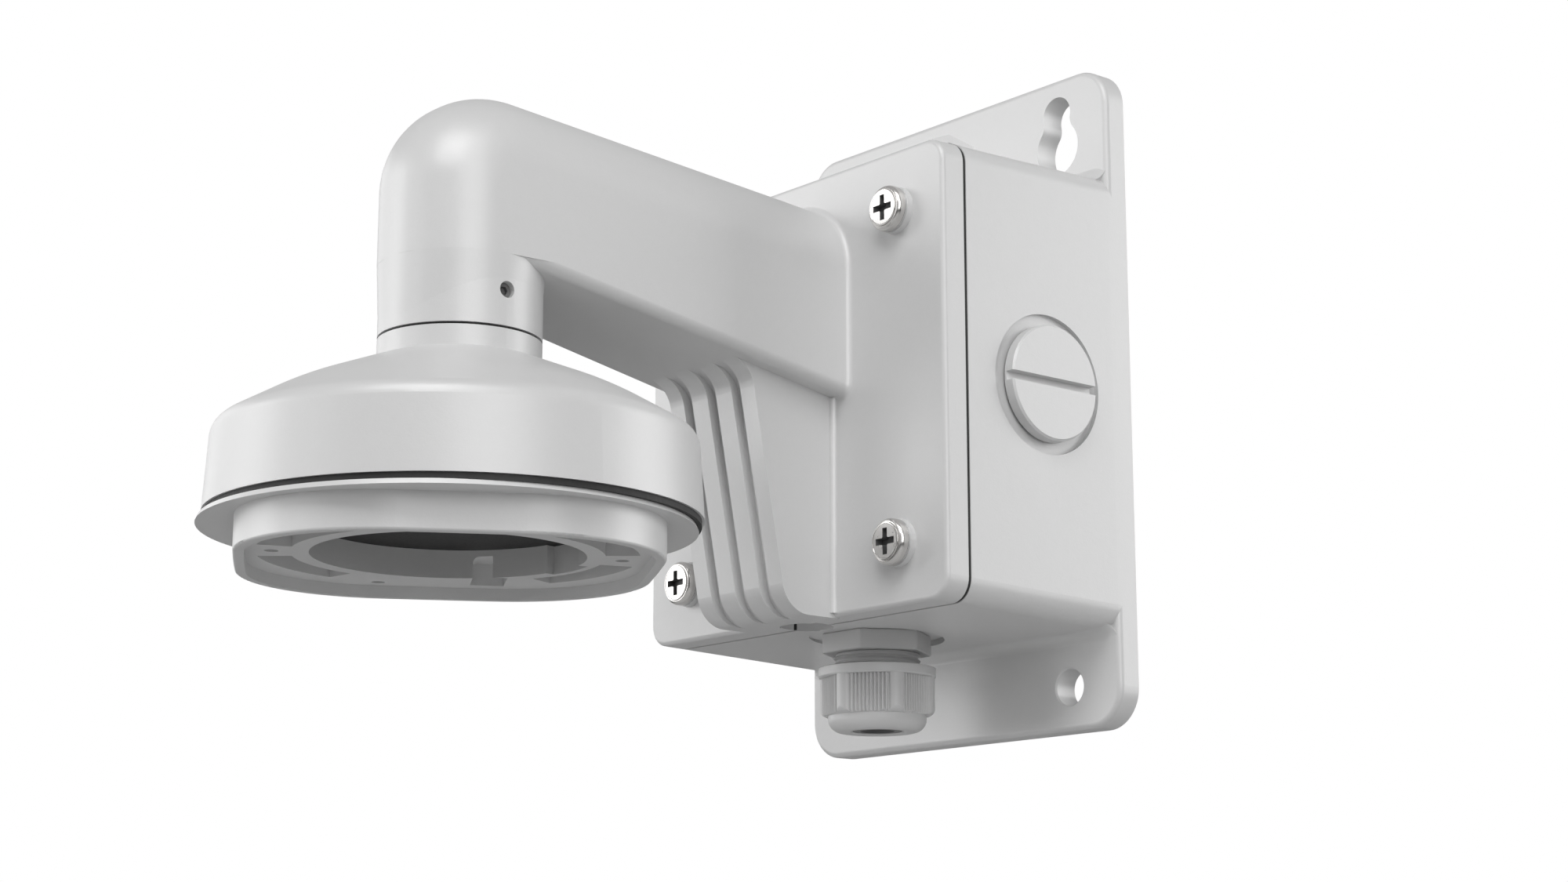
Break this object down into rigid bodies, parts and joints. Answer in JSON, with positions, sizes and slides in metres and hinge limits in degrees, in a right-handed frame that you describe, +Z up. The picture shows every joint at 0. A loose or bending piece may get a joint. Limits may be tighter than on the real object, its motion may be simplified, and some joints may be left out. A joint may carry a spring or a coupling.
{
  "type": "security camera wall bracket",
  "caption": "Wall bracket with sealed junction box, hollow arm and round mounting cap that carries a dome security camera; the camera itself is not included.",
  "frame": {"origin": "centre of the wall plate's flat back face", "axes": "+Y into the wall, -Y out along the arm, +Z up, +X to the right as seen from the front"},
  "size_m": [0.1247, 0.2329, 0.18],
  "materials": {
    "white_paint": "satin light grey-white powder coat on cast aluminium",
    "grey_plastic": "satin light grey moulded nylon",
    "plated_steel": "bright plated steel",
    "black_rubber": "matt black moulded rubber",
    "black_steel": "black oxide finish on steel",
    "brass": "plain brass"
  },
  "bodies": {
    "base": {"back_box": "white_paint", "box_gasket": "black_rubber", "rear_grommet": "black_rubber", "earth_screw": "brass", "gland_body": "grey_plastic", "gland_locknut": "grey_plastic", "gland_seal_washer": "black_rubber", "gland_insert": "black_rubber", "side_plug_oring": "black_rubber"},
    "cover": {"front_cover": "white_paint", "cover_screw_washers": "plated_steel"},
    "cap": {"mounting_cap": "white_paint", "neck_oring": "black_rubber", "cap_gasket": "black_rubber"},
    "adapter": {"adapter_plate": "white_paint", "adapter_screws": "plated_steel"},
    "gland_nut": {"gland_dome_nut": "grey_plastic"},
    "plug": {"side_plug": "white_paint"},
    "screw_top_left": {"cover_screw_top_left": "plated_steel"},
    "screw_top_right": {"cover_screw_top_right": "plated_steel"},
    "screw_bottom_left": {"cover_screw_bottom_left": "plated_steel"},
    "screw_bottom_right": {"cover_screw_bottom_right": "plated_steel"},
    "set_screw": {"arm_set_screw": "black_steel"}
  },
  "joints": [
    {"name": "cover_lift_off", "type": "slide", "parent": "base", "child": "cover", "axis": [0, -1, 0], "range_m": [0, 0.08]},
    {"name": "cap_turn", "type": "hinge", "parent": "cover", "child": "cap", "pos_m": [0, -0.1721, 0], "axis": [0, 0, 1], "continuous": true},
    {"name": "adapter_drop", "type": "slide", "parent": "cap", "child": "adapter", "axis": [0, 0, -1], "range_m": [0, 0.04]},
    {"name": "gland_nut_turn", "type": "hinge", "parent": "base", "child": "gland_nut", "pos_m": [0, -0.0366, 0], "axis": [0, 0, 1], "continuous": true},
    {"name": "side_plug_turn", "type": "hinge", "parent": "base", "child": "plug", "pos_m": [0.06, -0.0311, -0.0034], "axis": [1, 0, 0], "continuous": true},
    {"name": "set_screw_turn", "type": "hinge", "parent": "cover", "child": "set_screw", "pos_m": [0.0173, -0.1721, 0.0057], "axis": [1, 0, 0], "continuous": true},
    {"name": "screw_top_left_turn", "type": "hinge", "parent": "cover", "child": "screw_top_left", "pos_m": [-0.0428, -0.07, 0.0405], "axis": [0, -1, 0], "continuous": true},
    {"name": "screw_top_right_turn", "type": "hinge", "parent": "cover", "child": "screw_top_right", "pos_m": [0.0428, -0.07, 0.0405], "axis": [0, -1, 0], "continuous": true},
    {"name": "screw_bottom_left_turn", "type": "hinge", "parent": "cover", "child": "screw_bottom_left", "pos_m": [-0.0428, -0.07, -0.0468], "axis": [0, -1, 0], "continuous": true},
    {"name": "screw_bottom_right_turn", "type": "hinge", "parent": "cover", "child": "screw_bottom_right", "pos_m": [0.0428, -0.07, -0.0468], "axis": [0, -1, 0], "continuous": true}
  ]
}
